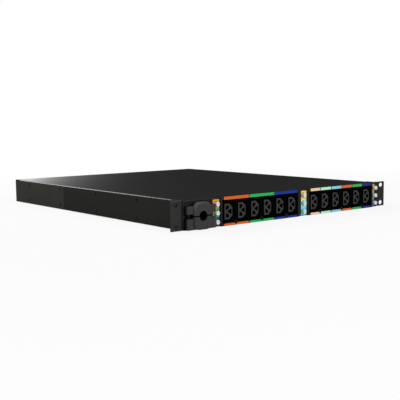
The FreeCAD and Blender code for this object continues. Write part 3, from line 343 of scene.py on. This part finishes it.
@dataclass(frozen=True)
class LidGloss:
    """Where a lid's coat is glossy: on its bends, and more and more towards one corner of its top.

    A bend lies beyond a place across, along and up, and its weight goes from a front to a rear
    share, as far as its end along. The corner's gloss fades by e over each fade length.
    """

    bend: Triple
    bend_end: float
    bend_shares: Pair
    top: float
    corner: Pair
    fade: Pair
    strength: float
    cloud_spread: float = 0.3

    def weight(self, shader: Shader, clouds: Socket) -> Socket:
        """Coat weight: a rising share on the bends, and on the top e to the way from the corner.

        The way is counted in fade lengths.

        Args:
            shader: Shader of the lid.
            clouds: Cloudy noise, about 0.5 on average.

        Returns:
            The weight, 0 to 1.
        """
        across, along, up = shader.axes()
        wide, start, level = self.bend
        bent = (abs(across) > wide) * (along > start) * (along < self.bend_end) * (up > level)
        way = (along - self.corner[1]) / self.fade[1] - (across - self.corner[0]) / self.fade[0]
        sheen = shader.math("EXPONENT", way) * self.strength * (up > self.top)
        front, rear = self.bend_shares
        share = along * ((rear - front) / self.corner[1]) + front
        return (bent * share * clouds.varied(1.0, self.cloud_spread)).larger(sheen).smaller(1.0)


@dataclass(frozen=True)
class SideTone:
    """Tone of one length of a cover's side walls, below its bends."""

    front: float
    rear: float
    tone: Colour
    wall: float = 219.5 * MM
    bend: float = 19.4 * MM

    def share(self, shader: Shader) -> Socket:
        """Share of the tone: 1 beyond the wall's place across, front to rear, below the bend.

        Args:
            shader: Shader of the cover.

        Returns:
            One on the length, else zero.
        """
        across, along, up = shader.axes()
        length = (along > self.front) * (along < self.rear)
        return (abs(across) > self.wall) * length * (up < self.bend)


@dataclass(frozen=True)
class FaceTone:
    """Lighter tone of a moulding's front, which fades out towards a depth along Y.

    The bore is a hole without the tone: its place across, its place up and its radius. On the
    clamp the tone is painted light: a lit front over the darker base colour, which stands as
    painted shade on the sides behind it and in the bore.
    """

    front: float
    back: float
    fade: float
    tone: Colour
    bore: Triple = (0.0, 0.0, 0.0)

    def share(self, shader: Shader) -> Socket:
        """Share of the tone: the way in front of the back in fade lengths, outside the bore.

        Args:
            shader: Shader of the moulding.

        Returns:
            The share, 0 to 1.
        """
        across, depth, up = shader.axes()
        aside, above = across - self.bore[0], up - self.bore[1]
        outside = (aside * aside + above * above) > self.bore[2] ** 2
        return ((self.back - depth) / self.fade).limited() * (depth > self.front) * outside


@dataclass(frozen=True)
class PaintedHighlightRim:
    """Painted highlight on a round-cornered block's front rim, in its upper half and strongest at
    the left.

    Middle and half sizes are across and up, and the rim reaches back to a depth along Y. It grows
    by the slope over the upper half, from a start below zero, and has a least share.
    """

    middle: Pair
    half: Pair
    corner: float
    back: float
    width: float
    tone: Colour
    slack: float = 0.5 * MM
    rise_slope: float = 1.5
    rise_start: float = 0.3
    rise_least: float = 0.2

    def share(self, shader: Shader) -> Socket:
        """Share of the painted highlight, from the distance to the block's outline.

        That distance is the length of the parts beyond the corner's centre, less the corner's
        radius.

        Args:
            shader: Shader of the block.

        Returns:
            The share, falling to 0 one rim width inside the outline and towards the right.
        """
        across, depth, up = shader.axes()
        aside, above = across - self.middle[0], up - self.middle[1]
        inner = [size - self.corner for size in self.half]
        beyond = abs(aside) - inner[0], abs(above) - inner[1]
        wide, tall = (part.larger(0.0) for part in beyond)
        inside = beyond[0].larger(beyond[1]).smaller(0.0)
        gap = shader.math("SQRT", wide * wide + tall * tall) + inside - self.corner
        near = (gap / self.width + 1.0).limited() * (gap < self.slack)
        left = (0.5 - aside / (2.0 * self.half[0])).limited()
        rise = above * (self.rise_slope / self.half[1]) - self.rise_start
        grown = rise.larger(self.rise_least).smaller(1.0) * (above > 0.0)
        return near * left * grown * (depth < self.back)


@dataclass(frozen=True)
class PowderCoat:
    """Black powder coat on sheet metal: pebbled skin, faint clouds and rubbed edges.

    Edges are pairs of an axis number and a place on it. Gloss and side tones are optional.
    """

    name: str
    colour: Colour
    roughness: float = 0.6
    specular: float = 0.0
    edges: tuple[tuple[int, float], ...] = ()
    gloss: Optional[LidGloss] = None
    sides: tuple[SideTone, ...] = ()
    coat_roughness: float = 0.14
    shades: Pair = (0.84, 1.2)
    pebble: float = 0.9 * MM
    pebble_detail: float = 1.0
    pebble_depth: float = 0.03 * MM
    pebble_strength: float = 0.5
    pebble_share: float = 0.4
    cloud: float = 70 * MM
    cloud_detail: float = 3.0
    cloud_share: float = 0.6
    gloss_spread: float = 0.12
    rub_width: float = 0.9 * MM
    rub_share: float = 0.5
    rub_shade: float = 3.0
    rub_gloss: float = 0.2
    patch: float = 6 * MM
    patch_detail: float = 4.0

    def rubbed(self, shader: Shader) -> Socket:
        """Share of rubbed coat: 1 on an edge and 0 one rub width away, broken up by patches.

        Args:
            shader: Shader of the coat.

        Returns:
            The share, 0 to 1.
        """
        axes = shader.axes()
        strips = [1.0 - abs(axes[axis] - place) / self.rub_width for axis, place in self.edges]
        patches = shader.noise(self.patch, self.patch_detail)
        nearest = reduce(Socket.larger, strips).larger(0.0)
        return (nearest * patches * self.rub_share).smaller(1.0)

    def make(self) -> bpy.types.Material:
        """Build the material.

        Returns:
            The material.
        """
        shader = Shader(self.name, self.specular, self.coat_roughness)
        pebbles = shader.noise(self.pebble, self.pebble_detail)
        clouds = shader.noise(self.cloud, self.cloud_detail)
        shader.relief(pebbles, self.pebble_depth, self.pebble_strength)
        uneven = clouds * self.cloud_share + pebbles * self.pebble_share
        colour = shader.shaded(uneven, self.colour, self.shades)
        for side in self.sides:
            toned = shader.shaded(uneven, side.tone, self.shades)
            colour = shader.blend(side.share(shader), colour, toned)
        roughness = clouds.varied(self.roughness, self.gloss_spread)
        if self.edges:
            share = self.rubbed(shader)
            colour = shader.blend(share, colour, opaque(scaled(self.colour, self.rub_shade)))
            roughness = roughness - share * self.rub_gloss
        if self.gloss is not None:
            weight = self.gloss.weight(shader, clouds)
            shader.feed(shader.surface.inputs["Coat Weight"], weight)
        return shader.coat(colour, roughness)


@dataclass(frozen=True)
class MouldedPlastic:
    """Spark-eroded moulded plastic: fine texture, uneven gloss and optional lighter tones; the
    clamp's tones are painted light.
    """

    name: str
    colour: Colour
    roughness: float = 0.5
    specular: float = 0.1
    tones: tuple[Union[FaceTone, PaintedHighlightRim], ...] = ()
    shades: Pair = (0.86, 1.16)
    detail: float = 2.0
    texture: float = 0.5 * MM
    texture_depth: float = 0.02 * MM
    texture_strength: float = 0.6
    texture_share: float = 0.3
    flow: float = 14 * MM
    flow_share: float = 0.7
    gloss_spread: float = 0.12

    def make(self) -> bpy.types.Material:
        """Build the material.

        Returns:
            The material.
        """
        shader = Shader(self.name, self.specular)
        fine = shader.noise(self.texture, self.detail)
        flow = shader.noise(self.flow, self.detail)
        shader.relief(fine, self.texture_depth, self.texture_strength)
        uneven = flow * self.flow_share + fine * self.texture_share
        colour = shader.shaded(uneven, self.colour, self.shades)
        for extra in self.tones:
            toned = shader.shaded(uneven, extra.tone, self.shades)
            colour = shader.blend(extra.share(shader), colour, toned)
        return shader.coat(colour, flow.varied(self.roughness, self.gloss_spread))


@dataclass(frozen=True)
class PrintedFilm:
    """Printed film label: even ink with a faint mottle, in fields divided at heights along Z."""

    name: str
    colours: tuple[Colour, ...]
    breaks: tuple[float, ...] = ()
    roughness: float = 0.5
    specular: float = 0.08
    detail: float = 2.0
    mottle: float = 0.6 * MM
    mottle_share: float = 0.12
    mottle_depth: float = 0.01 * MM
    mottle_strength: float = 0.3
    ink: float = 9 * MM
    ink_share: float = 0.08
    shade: Colour = (0.55, 0.55, 0.55)
    gloss_spread: float = 0.1

    def make(self) -> bpy.types.Material:
        """Build the material, with the first colour in the uppermost field.

        Returns:
            The material.
        """
        shader = Shader(self.name, self.specular)
        mottle = shader.noise(self.mottle, self.detail)
        ink = shader.noise(self.ink, self.detail)
        up = shader.axes()[2]
        colour: object = opaque(self.colours[0])
        for height, below in zip(self.breaks, self.colours[1:]):
            colour = shader.blend(up < height, colour, opaque(below))
        uneven = mottle * self.mottle_share + ink * self.ink_share
        colour = shader.blend(uneven, colour, opaque(self.shade), "MULTIPLY")
        shader.relief(mottle, self.mottle_depth, self.mottle_strength)
        return shader.coat(colour, ink.varied(self.roughness, self.gloss_spread))


@dataclass(frozen=True)
class PlainMetal:
    """Bare or plated metal with brush marks drawn out along X."""

    name: str
    colour: Colour
    roughness: float = 0.35
    shades: Pair = (0.8, 1.15)
    mark: float = 0.8 * MM
    mark_detail: float = 2.0
    mark_stretch: Triple = (0.08, 1.0, 1.0)
    mark_depth: float = 0.01 * MM
    mark_strength: float = 0.4
    gloss_spread: float = 0.18

    def make(self) -> bpy.types.Material:
        """Build the material.

        Returns:
            The material.
        """
        shader = Shader(self.name)
        marks = shader.noise(self.mark, self.mark_detail, self.mark_stretch)
        shader.relief(marks, self.mark_depth, self.mark_strength)
        colour = shader.shaded(marks, self.colour, self.shades)
        return shader.coat(colour, marks.varied(self.roughness, self.gloss_spread), 1.0)


COVER_EDGES = ((1, -2.0 * MM), (1, 541.0 * MM), (2, -21.8 * MM))
EAR_EDGES = ((2, -21.85 * MM), (2, 21.85 * MM), (1, 22.0 * MM))
COVER_GLOSS = LidGloss(
    bend=(218.4 * MM, 26.0 * MM, 19.6 * MM), bend_end=521.0 * MM, bend_shares=(0.45, 1.0),
    top=20.9 * MM, corner=(-215.0 * MM, 541.0 * MM), fade=(60.0 * MM, 85.0 * MM), strength=1.75,
)
SIDE_STEP = 347.0 * MM
COVER_SIDES = (
    SideTone(-3.0 * MM, SIDE_STEP, tint(47, 47, 44)),
    SideTone(SIDE_STEP, 542.0 * MM, tint(60, 60, 57)),
)
CORD_BORE = (-192.0 * MM, -1.7 * MM, 7.5 * MM)
# Painted light: the clamp's front is toned as lit, fading with depth to the dark base colour,
# which is painted shade on its sides and in its cord bore.
CLAMP_PAINTED_LIT_FRONT = FaceTone(-15.0 * MM, -8.0 * MM, 3.0 * MM, tint(60, 60, 60), CORD_BORE)
# Painted highlight: a lighter rim where light falls on the clamp block's rounded upper left
# shoulder.
CLAMP_PAINTED_HIGHLIGHT = PaintedHighlightRim(
    middle=CORD_BORE[:2], half=(15.8 * MM, 20.0 * MM), corner=9.0 * MM, back=-11.0 * MM,
    width=4.0 * MM, tone=tint(90, 90, 89),
)
ISLAND_FACE = FaceTone(-4.51 * MM, -4.44 * MM, 0.03 * MM, tint(61, 61, 61))
FIELD_BREAKS = (6.0 * MM, -7.5 * MM)
MIDDLE_BREAKS = (4.0 * MM, -7.0 * MM)


class Finish(Enum):
    """Finishes of the object's pieces."""

    COVER = PowderCoat(
        "cover_powder_coat", tint(45, 45, 45), edges=COVER_EDGES, gloss=COVER_GLOSS,
        sides=COVER_SIDES,
    )
    TRAY = PowderCoat("tray_powder_coat", tint(45, 45, 45))
    PANEL = PowderCoat("panel_powder_coat", tint(36, 36, 36), 0.65)
    EAR = PowderCoat("ear_powder_coat", tint(50, 50, 49), 0.55, 0.02, EAR_EDGES)
    # Painted shade: the right ear has the left ear's coat, darkened where less light falls on the
    # right end of the front.
    EAR_RIGHT = PowderCoat("right_ear_painted_shade_coat", tint(43, 43, 42), 0.55, 0.02, EAR_EDGES)
    SCREW = PlainMetal("blackened_steel", tint(30, 30, 31), 0.5)
    # The clamp's dark base colour is painted shade; its lit front and its highlight rim are
    # painted over it.
    CLAMP = MouldedPlastic("clamp_plastic_painted_light", tint(20, 20, 20), 0.5, 0.02, (CLAMP_PAINTED_LIT_FRONT, CLAMP_PAINTED_HIGHLIGHT))
    BEZEL = MouldedPlastic("bezel_plastic", tint(44, 44, 44), 0.45, 0.0)
    OUTLET = MouldedPlastic("outlet_plastic", tint(6, 6, 7), 0.5, 0.0, (ISLAND_FACE,))
    BREAKER = MouldedPlastic("breaker_plastic", tint(20, 20, 20))
    BUTTON = MouldedPlastic("button_plastic", tint(240, 240, 238), 0.35, 0.3)
    INK = MouldedPlastic("number_ink", tint(60, 62, 68))
    BRASS = PlainMetal("terminal_brass", tint(196, 164, 98), 0.32)
    COPPER = PlainMetal("bare_copper", tint(196, 128, 92), 0.34)
    STEEL = PlainMetal("plated_steel", tint(190, 190, 192), 0.3)
    INSULATOR = MouldedPlastic("insulator_plastic", tint(160, 156, 144))
    BAND_1 = PrintedFilm("orange_film", (tint(222, 102, 32),))
    BAND_2 = PrintedFilm("green_film", (tint(38, 180, 92),))
    BAND_3 = PrintedFilm("blue_film", (tint(20, 54, 150),))
    BAND_4 = PrintedFilm("peach_film", (tint(242, 208, 168),))
    BAND_5 = PrintedFilm("mint_film", (tint(190, 240, 212),))
    BAND_6 = PrintedFilm("pale_blue_film", (tint(142, 208, 230),))
    BAND_7 = PrintedFilm("orange_red_film", (tint(222, 102, 44),))
    BAND_8 = PrintedFilm("leaf_green_film", (tint(56, 178, 86),))
    BAND_9 = PrintedFilm("deep_blue_film", (tint(20, 48, 136),))
    LABEL_LEFT = PrintedFilm(
        "label_left_film", (tint(236, 164, 34), tint(110, 164, 92), tint(40, 90, 148)),
        FIELD_BREAKS,
    )
    LABEL_MIDDLE = PrintedFilm(
        "label_middle_film", (tint(255, 224, 112), tint(176, 255, 238), tint(110, 232, 246)),
        MIDDLE_BREAKS,
    )
    LABEL_RIGHT = PrintedFilm(
        "label_right_film", (tint(214, 178, 84), tint(130, 172, 130), tint(98, 116, 158)),
        FIELD_BREAKS,
    )

    def material(self) -> bpy.types.Material:
        """Give this finish's material, made on its first use."""
        return bpy.data.materials.get(self.value.name) or self.value.make()


def dress(node: str, finish: Finish) -> None:
    """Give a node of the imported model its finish.

    Args:
        node: Name of the node.
        finish: Finish of all its faces.
    """
    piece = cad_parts[node]
    piece.data.materials.clear()
    piece.data.materials.append(finish.material())
    LOG.info("dressed %s with %s", node, finish.value.name)


def new_piece(name: str, mesh: bpy.types.Mesh, finish: Finish, body: str) -> None:
    """Add a piece to the object, at the origin.

    Args:
        name: Name of the piece.
        mesh: Its mesh, already in place.
        finish: Its finish.
        body: Body that it rides on.
    """
    piece = bpy.data.objects.new(name, mesh)
    bpy.context.scene.collection.objects.link(piece)
    mesh.materials.clear()
    mesh.materials.append(finish.material())
    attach(piece, body)
    LOG.info("made %s on %s", name, body)


@dataclass
class Enclosure:
    """Folded sheet-metal body: tray, cover, panel, ears and their screws."""

    sheets: dict[str, Finish] = field(default_factory=lambda: {
        "chassis_tray": Finish.TRAY,
        "top_cover": Finish.COVER,
        "front_panel": Finish.PANEL,
        "rack_ear_left": Finish.EAR,
        "rack_ear_right": Finish.EAR_RIGHT,
        "cover_screws": Finish.SCREW,
        "ear_screws": Finish.SCREW,
    })

    def dress(self) -> None:
        """Dress the sheets and screws."""
        for node, finish in self.sheets.items():
            dress(node, finish)


@dataclass
class CordClamp:
    """Split clamp for the supply cord."""

    halves: tuple[str, ...] = ("clamp_upper_half", "clamp_lower_half")

    def dress(self) -> None:
        """Dress both halves and their screws."""
        for node in self.halves:
            dress(node, Finish.CLAMP)
        dress("clamp_screws", Finish.SCREW)
        dress("clamp_fixing_screws", Finish.STEEL)


@dataclass
class OutletBanks:
    """Two banks of outlets: bezels, two-gang modules and colour bands."""

    modules: int = 6
    bands: int = 9

    def dress(self) -> None:
        """Dress bezels, modules, their screws and terminals, and the colour bands."""
        for side in ("left", "right"):
            dress(f"bank_bezel_{side}", Finish.BEZEL)
        for number in range(1, self.modules + 1):
            dress(f"outlet_module_{number}", Finish.OUTLET)
        dress("outlet_module_screws", Finish.SCREW)
        dress("outlet_terminals", Finish.BRASS)
        for number in range(1, self.bands + 1):
            dress(f"colour_band_{number}", Finish[f"BAND_{number}"])


@dataclass
class Breakers:
    """Push-to-reset breakers in three columns, with their labels and rating numbers.

    The figure share is the height of a figure as a share of the type size.
    """

    count: int = 9
    rating: str = "10"
    number_height: float = 3.4 * MM
    number_thick: float = 0.04 * MM
    number_steps: int = 4
    figure_share: float = 0.7

    def dress(self) -> None:
        """Dress labels, cases, buttons and terminals."""
        for column in ("left", "middle", "right"):
            dress(f"breaker_label_{column}", Finish[f"LABEL_{column.upper()}"])
        for number in range(1, self.count + 1):
            dress(f"breaker_{number}", Finish.BREAKER)
            dress(f"breaker_button_{number}", Finish.BUTTON)
        dress("breaker_terminals", Finish.BRASS)

    def number_mesh(self, name: str, middle: Vector) -> bpy.types.Mesh:
        """Shape of the rating number as a thin plate that faces the front.

        Args:
            name: Name of the mesh.
            middle: Middle of the number, on the face that carries it.

        Returns:
            The mesh, in place.
        """
        words = bpy.data.curves.new(name + "_words", "FONT")
        words.body = self.rating
        words.size = self.number_height / self.figure_share
        words.align_x = "CENTER"
        words.align_y = "CENTER"
        words.extrude = self.number_thick
        words.resolution_u = self.number_steps
        holder = bpy.data.objects.new(name + "_words", words)
        bpy.context.scene.collection.objects.link(holder)
        bpy.context.view_layer.update()
        solid = holder.evaluated_get(bpy.context.evaluated_depsgraph_get())
        mesh = bpy.data.meshes.new_from_object(solid)
        bpy.data.objects.remove(holder)
        bpy.data.curves.remove(words)
        mesh.name = name
        upright = Matrix.Rotation(math.pi / 2, 4, "X")
        mesh.transform(Matrix.Translation(middle) @ upright)
        return mesh

    def build(self) -> None:
        """Print the rating number on each button's tip."""
        for number in range(1, self.count + 1):
            low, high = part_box(f"breaker_button_{number}")
            middle = Vector(((low.x + high.x) / 2, low.y, (low.z + high.z) / 2))
            name = f"rating_number_{number}"
            mesh = self.number_mesh(name, middle)
            new_piece(name, mesh, Finish.INK, f"button_{number}")


@dataclass
class Interior:
    """Terminal block, bus bars and earth stud inside the body."""

    pieces: dict[str, Finish] = field(default_factory=lambda: {
        "input_terminal_block": Finish.INSULATOR,
        "terminal_block_screws": Finish.STEEL,
        "bus_bars": Finish.COPPER,
        "bus_bar_supports": Finish.INSULATOR,
        "earth_stud": Finish.BRASS,
    })

    def dress(self) -> None:
        """Dress the inner pieces."""
        for node, finish in self.pieces.items():
            dress(node, finish)


@dataclass(frozen=True)
class Viewpoint:
    """Camera at the photo's angle: place, angles in degrees and a focal length in pixels."""

    place: Triple = (-0.8603, -0.8329, 0.1360)
    yaw: float = 39.16
    pitch: float = 6.19
    roll: float = 0.54
    focal: float = 741.1
    picture_middle: Pair = (202.47, 199.92)
    picture_size: float = 400.0
    sensor: float = 36.0
    nearest: float = 0.01

    def turned(self) -> Matrix:
        """Work out the camera's turn from its yaw, pitch and roll.

        Returns:
            Matrix with the camera's right, up and backward directions as columns.
        """
        yaw, pitch, roll = (math.radians(turn) for turn in (self.yaw, self.pitch, self.roll))
        flat = math.cos(pitch)
        ahead = Vector((flat * math.sin(yaw), flat * math.cos(yaw), -math.sin(pitch)))
        level = Vector((math.cos(yaw), -math.sin(yaw), 0.0))
        down = ahead.cross(level)
        right = math.cos(roll) * level + math.sin(roll) * down
        up = math.sin(roll) * level - math.cos(roll) * down
        return Matrix((right, up, -ahead)).transposed().to_4x4()

    def build(self) -> None:
        """Place the camera, with its lens shifted to the picture's own middle."""
        lens = bpy.data.cameras.new("studio_camera")
        lens.sensor_width = self.sensor
        lens.lens = self.focal * self.sensor / self.picture_size
        half = self.picture_size / 2
        lens.shift_x = (half - self.picture_middle[0]) / self.picture_size
        lens.shift_y = (self.picture_middle[1] - half) / self.picture_size
        lens.clip_start = self.nearest
        holder = bpy.data.objects.new("studio_camera", lens)
        holder.matrix_world = Matrix.Translation(self.place) @ self.turned()
        bpy.context.scene.collection.objects.link(holder)
        bpy.context.scene.camera = holder


@dataclass(frozen=True)
class Floor:
    """Wide pale floor just below the object.

    It keeps the shadow under the object whole, shows it faintly round about, and fades to white
    by its distance from the origin.
    """

    gap: float = 0.1 * MM
    size: float = 12.0
    colour: Colour = (0.95, 0.95, 0.95)
    roughness: float = 0.9
    white: float = 0.85
    fade: Pair = (0.5, 1.3)
    inset: float = 20 * MM

    def material(self) -> bpy.types.Material:
        """Make the floor's material: white glow for background rays, paint for all others.

        Returns:
            The material.
        """
        shader = Shader("floor_white", 0.0)
        shader.coat(opaque(self.colour), self.roughness)
        glow = shader.node("ShaderNodeEmission", inputs={"Color": WHITE, "Strength": 1.0})
        across, along, _ = shader.axes()
        near, far = self.fade
        away = shader.math("SQRT", across * across + along * along)
        fade = ((away - near) / (far - near)).limited()
        (left, front, _), (right, rear, _) = CAD_BOX
        within_width = (across > left + self.inset) * (across < right - self.inset)
        within_depth = (along > front + self.inset) * (along < rear)
        outside = 1.0 - within_width * within_depth
        white = (fade * (1.0 - self.white) + self.white) * outside
        share = shader.background_rays() * white
        ends = {0: share, 1: shader.surface.outputs[0], 2: glow.outputs[0]}
        mix = shader.node("ShaderNodeMixShader", inputs=ends)
        shader.feed(shader.output.inputs["Surface"], mix.outputs[0])
        return shader.material

    def build(self) -> None:
        """Lay the floor as one square about the origin."""
        corners = np.array(((-1, -1), (1, -1), (1, 1), (-1, 1))) * (self.size / 2)
        points = np.column_stack((corners, np.full(len(corners), CAD_BOX[0][2] - self.gap)))
        mesh = bpy.data.meshes.new("studio_floor")
        mesh.from_pydata(points.tolist(), [], [tuple(range(len(points)))])
        floor = bpy.data.objects.new("studio_floor", mesh)
        bpy.context.scene.collection.objects.link(floor)
        mesh.materials.append(self.material())


@dataclass(frozen=True)
class Softbox:
    """Soft square light that points at the object, with its edge length and power in watts."""

    name: str
    place: Triple
    size: float
    power: float
    target: Triple = (0.0, 0.2, 0.0)

    def build(self) -> None:
        """Hang the light."""
        lamp = bpy.data.lights.new(self.name, "AREA")
        lamp.size = self.size
        lamp.energy = self.power
        holder = bpy.data.objects.new(self.name, lamp)
        aim = Vector(self.target) - Vector(self.place)
        holder.location = self.place
        holder.rotation_euler = aim.to_track_quat("-Z", "Y").to_euler()
        bpy.context.scene.collection.objects.link(holder)


@dataclass(frozen=True)
class Studio:
    """Floor, even world light, soft lights and the camera."""

    floor: Floor = Floor()
    viewpoint: Viewpoint = Viewpoint()
    lights: tuple[Softbox, ...] = (
        Softbox("front_light", (0.0, -2.2, 1.0), 1.5, 28.0),
        Softbox("rear_light", (-0.9, 2.2, 1.3), 1.0, 24.0),
    )
    world_light: float = 0.47

    def build_world(self) -> None:
        """Light the scene evenly, and show white to the rays that show the background."""
        world = bpy.data.worlds.new("studio_world")
        world.use_nodes = True
        nodes = Nodes(world.node_tree)
        strength = nodes.background_rays() * (1.0 - self.world_light) + self.world_light
        shown = {"Color": WHITE, "Strength": strength}
        back = nodes.node("ShaderNodeBackground", inputs=shown)
        nodes.node("ShaderNodeOutputWorld", inputs={"Surface": back.outputs[0]})
        bpy.context.scene.world = world

    def build(self) -> None:
        """Set up floor, world, lights, camera and the plain view transform."""
        self.floor.build()
        self.build_world()
        for light in self.lights:
            light.build()
        self.viewpoint.build()
        bpy.context.scene.view_settings.view_transform = "Standard"


def main() -> None:
    """Build and dress every sub-assembly, then the studio."""
    logging.basicConfig(level=logging.INFO, format="%(name)s: %(message)s")
    breakers = Breakers()
    breakers.build()
    for assembly in (Enclosure(), CordClamp(), OutletBanks(), breakers, Interior()):
        assembly.dress()
    Studio().build()


if __name__ == "__main__":
    main()
